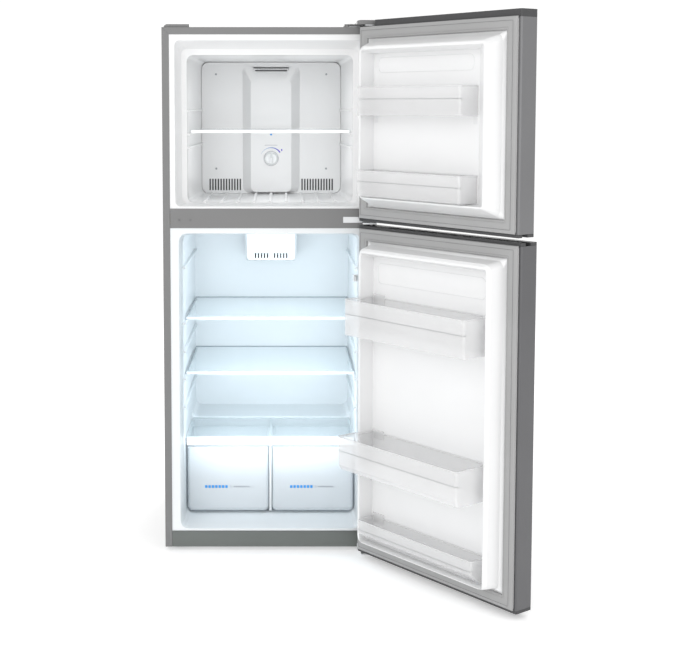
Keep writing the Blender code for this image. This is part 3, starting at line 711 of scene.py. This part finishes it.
drawerRim = {"near": 5, "far": 245, "front": 125.2, "back": 370.8, "top": 270, "inset": 1.2, "width": 3.0}
drawerGrip = {"inset": 60, "depth": (118.5, 124.2), "level": (259, 268), "round": 1.8}
for side, sign in (("left", -1), ("right", 1)):
    near, far = sorted((sign * drawerRim["near"], sign * drawerRim["far"]))
    body, inset = f"crisper_{side}_body", drawerRim["inset"]
    corners = ((near + inset, "front"), (far - inset, "front"), (far - inset, "back"), (near + inset, "back"))
    rim = [(x, drawerRim[end], drawerRim["top"]) for x, end in corners]
    width = drawerRim["width"]
    beadAlong(
        f"crisper_{side}_rim", rim, width, width, "drawer_clear", body, closed=True
    )
    ends = (near + drawerGrip["inset"], far - drawerGrip["inset"])
    grip = list(zip(ends, drawerGrip["depth"], drawerGrip["level"]))
    name, radius = f"crisper_{side}_grip", drawerGrip["round"]
    solid(name, grip, "clear_plastic", body, round=radius, segments=3)
print("fridge fitted")

# lines round the doors' seals: how far in from the door's edge, depth, width and finish; the dark lines in the
# seal's outer gap and groove are painted shade, the lip is the seal's own grey
seal = {
    "half": 292,
    "corner": 2.5,
    "flat": 0.6,
    "levels": {"freezer_door": (962, 1486), "fridge_door": (24, 934)},
}
sealBeads = {
    "seal_gap_shade": (1.6, -6.2, 1.6, "seal_dark_and_gap_shade"),
    "seal_groove_shade": (10.5, -1.2, 1.4, "seal_dark_and_gap_shade"),
    "seal_lip": (26.5, -1.4, 2.2, "gasket_grey"),
}
for door, (low, high) in seal["levels"].items():
    for name, (inset, depth, width, finish) in sealBeads.items():
        half, height = seal["half"] - inset, width * seal["flat"]
        ring = roundRing(-half, half, low + inset, high - inset, seal["corner"], depth, 3)
        beadAlong(
            f"{door}_{name}", ring, width, height, finish, door, door, closed=True
        )

# sizes as the closed door has them: line is the fold in the front, step the notch at the hinge end
bins = {
    "freezer_upper_bin": {
        "door": "freezer_door",
        "x": (-167, 229),
        "front": 60,
        "level": (1246, 1322),
        "line": 1289.5,
        "step": 0,
    },
    "freezer_lower_bin": {
        "door": "freezer_door",
        "x": (-167, 229),
        "front": 60,
        "level": (1030, 1099),
        "line": 1070,
        "step": 0,
    },
    "fridge_upper_bin": {
        "door": "fridge_door",
        "x": (-209, 227),
        "front": 91,
        "level": (653, 750),
        "line": 711,
        "step": 17,
        "tab": 760,
    },
    "fridge_middle_bin": {
        "door": "fridge_door",
        "x": (-209, 227),
        "front": 112,
        "level": (300, 376),
        "line": 338,
        "step": 17,
        "tab": 383,
    },
    "fridge_lower_bin": {
        "door": "fridge_door",
        "x": (-209, 224),
        "front": 57,
        "level": (102, 138),
        "line": 112,
        "step": 0,
        "tab": 150,
    },
}
binShape = {
    "corner": 10,
    "back": -2.4,
    "notch": 46,
    "rim": (2.8, 2.4),
    "rimInset": 1.1,
    "fold": 1.1,
    "foldProud": 0.05,
}
binTab = {"from": 46, "to": 1, "below": 16, "depth": (-3.2, -0.4), "round": 1.2}
binRest = {"from": 3, "to": 17, "below": (-20, -2), "depth": (-3.95, -3.7)}
noRest = "fridge_lower_bin"  # too near the foot of the door for rests below it


def binOutline(bin, level, out):
    # round the bin from its latch end, with six points to each front corner
    (left, right), step, back = bin["x"], bin["step"], binShape["back"]
    left, right = left - out, right + step + out
    front, radius = bin["front"] + out, binShape["corner"] + out
    points = [(left, back, level)]
    for x, start in ((left + radius, 180), (right - radius, 90)):
        points += [(px, py, level) for px, py in arcPoints((x, front - radius), radius, start, -90, 5)]
    if step:
        notch = binShape["notch"]
        points += [(right, notch, level), (right - step, notch, level)]
    return points + [(right - step, back, level)]


def dressBin(name, bin):
    body, door, (left, right), (low, high) = name + "_body", bin["door"], bin["x"], bin["level"]
    inset, (width, height) = binShape["rimInset"], binShape["rim"]
    rim = binOutline(bin, high, -inset) + [(left + inset, binShape["back"], high)]
    beadAlong(name + "_rim", rim, width, height, "edge_grey", body, door)
    fold = binOutline(bin, bin["line"], binShape["foldProud"])[1:13]
    width = binShape["fold"]
    beadAlong(name + "_fold", fold, width, width, "fold_grey", body, door)
    if "tab" in bin:
        ends, levels = (right - binTab["from"], right - binTab["to"]), (high - binTab["below"], bin["tab"])
        tab = list(zip(ends, binTab["depth"], levels))
        solid(name + "_tab", tab, "clear_plastic", body, door, binTab["round"], 3)
    if name == noRest:
        return
    for side, x, inward in (("left", left, 1), ("right", right, -1)):
        ends = sorted((x + inward * binRest["from"], x + inward * binRest["to"]))
        rest = list(zip(ends, binRest["depth"], [low + drop for drop in binRest["below"]]))
        solid(f"{name}_rest_{side}", rest, "panel_white", door, door)


for name, bin in bins.items():
    dressBin(name, bin)

emboss = {
    "corner": 14,
    "depth": -3.8,
    "width": 1.6,
    "height": 1.0,
    "freezer_door": (-150, 210, 1360, 1400),
    "fridge_door": (-190, 210, 790, 845),
}
for door in ("freezer_door", "fridge_door"):
    ring = roundRing(*emboss[door], emboss["corner"], emboss["depth"])
    width, height = emboss["width"], emboss["height"]
    beadAlong(door + "_emboss", ring, width, height, "panel_white", door, door, closed=True)
print("doors fitted")

cornerJoint = {"path": [(-298.6, 0.2, 1487.6), (-281, 0.2, 1470)], "width": 1.6, "height": 0.7}
beadAlong(
    "corner_joint", cornerJoint["path"], cornerJoint["width"], cornerJoint["height"], "seal_dark_and_gap_shade", "cabinet"
)

frontScrews = {
    "mullion_plugs": {"at": [(-254, -0.2, 952), (-223, -0.2, 952)], "radius": 2.8, "finish": "seal_dark_and_gap_shade"},
    "centre_hinge_screws": {"at": [(216, -2.5, 952), (236, -2.5, 952)], "radius": 3.4, "finish": "zinc"},
}
for name, row in frontScrews.items():
    setScrews(name, row["at"], row["radius"], 90, row["finish"], "cabinet")

rearScrews = {
    "face": 597.4,
    "radius": 4.0,
    "panel": [(x, z) for x in (-285, 285) for z in (330, 610, 890, 1170, 1450)],
    "cover": [(x, z) for x in (-285, -95, 95, 285) for z in (34, 272)],
}
rearSpots = [(x, rearScrews["face"], z) for x, z in rearScrews["panel"] + rearScrews["cover"]]
setScrews("rear_screws", rearSpots, rearScrews["radius"], -90, "zinc", "cabinet")

rearRibs = {
    "count": 9,
    "step": (0, 0, 118),
    "from": (-250, 597.6, 390),
    "to": (250, 597.6, 390),
    "width": 7.0,
    "height": 2.6,
    "round": 1.1,
}
bars("rear_ribs", rearRibs, "zinc", "cabinet")

thread = {"x": 262, "y": 48, "radius": 4.9, "pitch": 1.6, "low": 9, "high": 33, "wire": 0.9, "perTurn": 12}


def cutThread(side, x):
    turns = int((thread["high"] - thread["low"]) / thread["pitch"])
    points = []
    for step in range(turns * thread["perTurn"]):
        turn = step / thread["perTurn"]
        across, along = math.cos(turn * 2 * math.pi), math.sin(turn * 2 * math.pi)
        y = thread["y"] + thread["radius"] * along
        points.append((x + thread["radius"] * across, y, thread["low"] + thread["pitch"] * turn))
    name, body, wire = f"foot_{side}_thread", f"foot_{side}_body", thread["wire"]
    beadAlong(name, points, wire, wire, "dark_plastic", body, sides=6)


cutThread("left", -thread["x"])
cutThread("right", thread["x"])

pipes = {
    "suction_pipe": {
        "route": [(-120, 520, 150), (-150, 530, 170), (-175, 540, 200), (-180, 545, 240), (-180, 545, 276)],
        "width": 7,
    },
    "discharge_pipe": {
        "route": [(15, 505, 120), (45, 500, 120), (60, 488, 90), (68, 475, 55), (82, 470, 42)],
        "width": 5,
    },
    "return_pipe": {
        "route": [(82, 470, 150), (60, 476, 165), (40, 500, 185), (30, 530, 215), (28, 545, 276)],
        "width": 5,
    },
}


def smoothed(route, steps=6):
    # a curve through every point of the route
    points = []
    padded = [route[0], *route, route[-1]]
    for near in zip(padded, padded[1:], padded[2:], padded[3:]):
        for step in range(steps):
            t = step / steps
            point = []
            for a, b, c, d in zip(*near):
                bend = (2 * a - 5 * b + 4 * c - d) * t * t + (3 * b - a - 3 * c + d) * t**3
                point.append(0.5 * (2 * b + (c - a) * t + bend))
            points.append(tuple(point))
    return points + [route[-1]]


for name, pipe in pipes.items():
    beadAlong(name, smoothed(pipe["route"]), pipe["width"], pipe["width"], "copper", "cabinet")
startRelay = ((-150, 418.5, 80), (-100, 430, 130))
solid("start_relay", startRelay, "dark_plastic", "cabinet", round=3, segments=3)
print("outside fitted")

studio = {
    "floor": surface((0.93, 0.93, 0.93), 0.7, 40, 0.01, 0.005, glow=(1, 1, 1), glowStrength=0.3),
    "floorReach": 14,
    "sky": 0.8,
    "backdrop": 1.05,
    "aim": (0, 0, 0.8),
    "soft": {
        "key": {"at": (-2.2, -3.6, 3.2), "size": 2.6, "power": 47},
        "fill": {"at": (2.6, -3.0, 1.8), "size": 2.4, "power": 16},
        "front": {"at": (-0.3, -4.8, 1.5), "size": 2.4, "power": 14},
        "back": {"at": (0.5, 3.2, 2.6), "size": 2.4, "power": 40},
    },
}
forwards, down = (0, 1, 0), (0, 0, -1)
inside = {
    "freezer_fill": {
        "at": (0, 0.07, 1.16),
        "size": (0.42, 0.36),
        "power": 0.48,
        "colour": (1, 1, 1),
        "aim": forwards,
    },
    "fridge_fill_high": {
        "at": (0, 0.05, 0.68),
        "size": (0.44, 0.40),
        "power": 0.95,
        "colour": (0.80, 0.92, 1),
        "aim": forwards,
    },
    "fridge_fill_low": {
        "at": (0, 0.05, 0.36),
        "size": (0.44, 0.22),
        "power": 0.95,
        "colour": (0.80, 0.92, 1),
        "aim": forwards,
    },
    "fridge_lamp": {
        "at": (0, 0.34, 0.9),
        "size": (0.3, 0.1),
        "power": 0.16,
        "colour": (0.8, 0.92, 1),
        "aim": down,
    },
    "drawer_glow": {
        "at": (0, 0.25, 0.2735),
        "size": (0.46, 0.22),
        "power": 0.3,
        "colour": (0.86, 0.94, 1),
        "aim": down,
    },
}


def areaLight(name, place, size, power, colour, aim):
    data = bpy.data.lights.new(name, "AREA")
    data.shape = "RECTANGLE"
    data.size, data.size_y = size
    data.energy, data.color = power, colour
    obj = shown(name, data)
    obj.location = place
    obj.rotation_euler = aim.to_track_quat("-Z", "Y").to_euler()
    obj.visible_camera = False


def makeFloor():
    reach = studio["floorReach"]
    mesh = bpy.data.meshes.new("floor")
    corners = ((-reach, -reach), (reach, -reach), (reach, reach), (-reach, reach))
    mesh.from_pydata([(x, y, 0) for x, y in corners], [], [(0, 1, 2, 3)])
    floor = shown("floor", mesh)
    mesh.materials.append(makeFinish("floor", studio["floor"]))


def makeSky():
    # soft white light, and plain white where the camera looks past the floor
    world = bpy.data.worlds.new("studio")
    world.use_nodes = True
    tree = world.node_tree
    light = tree.nodes["Background"]
    light.inputs["Color"].default_value = (1, 1, 1, 1)
    light.inputs["Strength"].default_value = studio["sky"]
    paper = newNode(tree, "ShaderNodeBackground", {"Color": (1, 1, 1, 1), "Strength": studio["backdrop"]})
    seen = newNode(tree, "ShaderNodeLightPath")
    blend = newNode(tree, "ShaderNodeMixShader", {0: seen.outputs["Is Camera Ray"]})
    tree.links.new(light.outputs[0], blend.inputs[1])
    tree.links.new(paper.outputs[0], blend.inputs[2])
    tree.links.new(blend.outputs[0], tree.nodes["World Output"].inputs["Surface"])
    bpy.context.scene.world = world
    bpy.context.scene.view_settings.view_transform = "Standard"


def makeLights():
    for name, lamp in studio["soft"].items():
        place, size = Vector(lamp["at"]), (lamp["size"], lamp["size"])
        areaLight(name, place, size, lamp["power"], (1, 1, 1), Vector(studio["aim"]) - place)
    for name, lamp in inside.items():
        place = origin + Vector(lamp["at"])
        areaLight(name, place, lamp["size"], lamp["power"], lamp["colour"], Vector(lamp["aim"]))


makeFloor()
makeSky()
makeLights()
print("studio lit")
